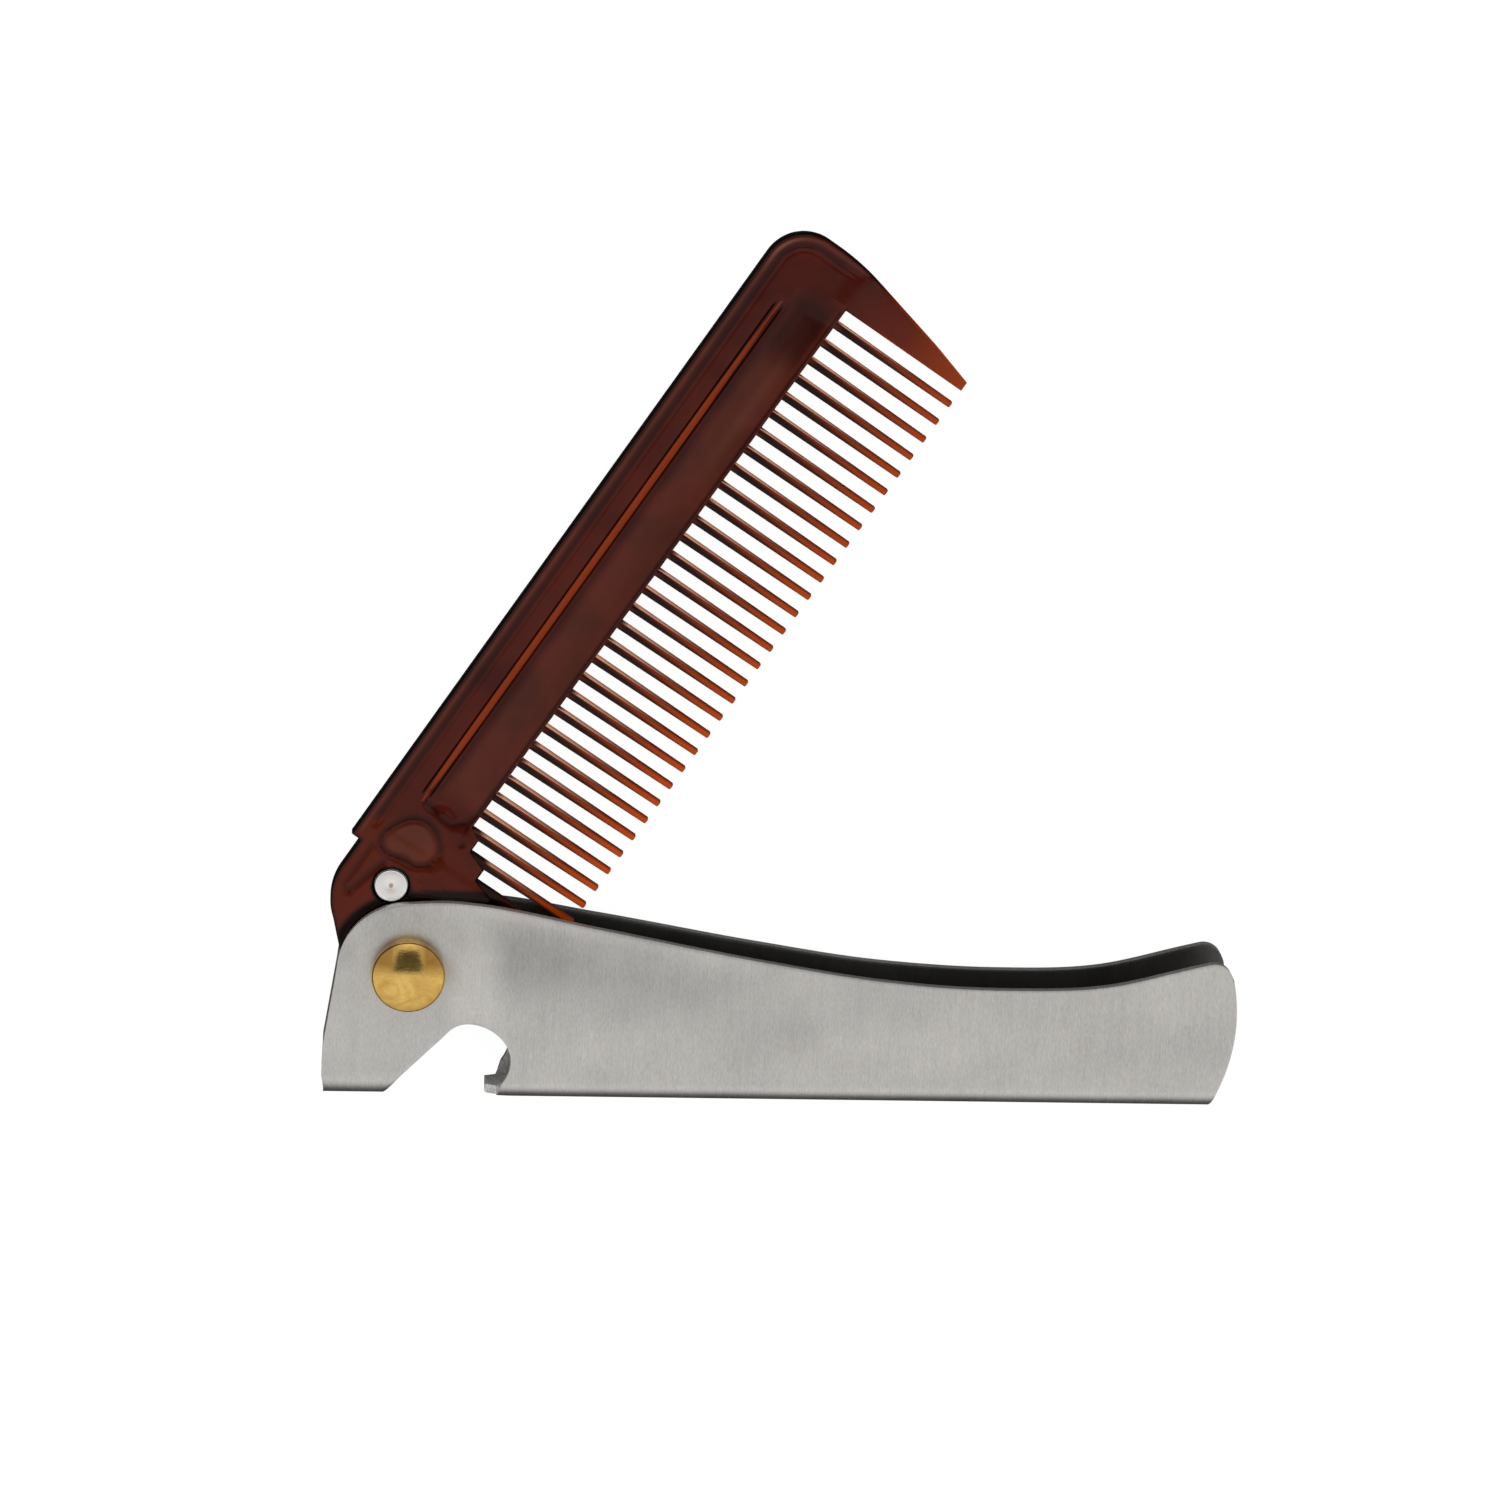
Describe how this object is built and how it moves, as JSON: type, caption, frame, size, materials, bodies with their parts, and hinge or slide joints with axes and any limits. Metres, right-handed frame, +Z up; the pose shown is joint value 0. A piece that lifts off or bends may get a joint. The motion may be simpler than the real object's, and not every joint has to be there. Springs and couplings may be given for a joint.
{
  "type": "folding comb",
  "caption": "Pocket comb of tortoiseshell-brown plastic that swings on a brass rivet out of a folded brushed-steel channel handle with a bottle-opener notch.",
  "frame": {"origin": "middle of the bottom of the whole half-open comb's box, on the surface it lies on", "axes": "+X along the handle towards its free end, +Y across the handle from its web to its open edge, +Z up through the two walls"},
  "size_m": [0.1136, 0.1092, 0.011],
  "materials": {
    "handle_steel": "satin, brushed across the handle",
    "rivet_brass": "polished",
    "comb_plastic": "glossy, slightly translucent, tortoiseshell brown",
    "pin_steel": "bright turned steel"
  },
  "bodies": {
    "handle": {"handle": "handle_steel", "pivot_rivet": "rivet_brass"},
    "comb": {"comb": "comb_plastic", "stop_pin": "pin_steel"}
  },
  "joints": [
    {"name": "comb_fold", "type": "hinge", "parent": "handle", "child": "comb", "pos_m": [-0.04635, -0.03835, 0.0055], "axis": [0, 0, 1], "range_deg": [-56.6, 123.4]}
  ]
}
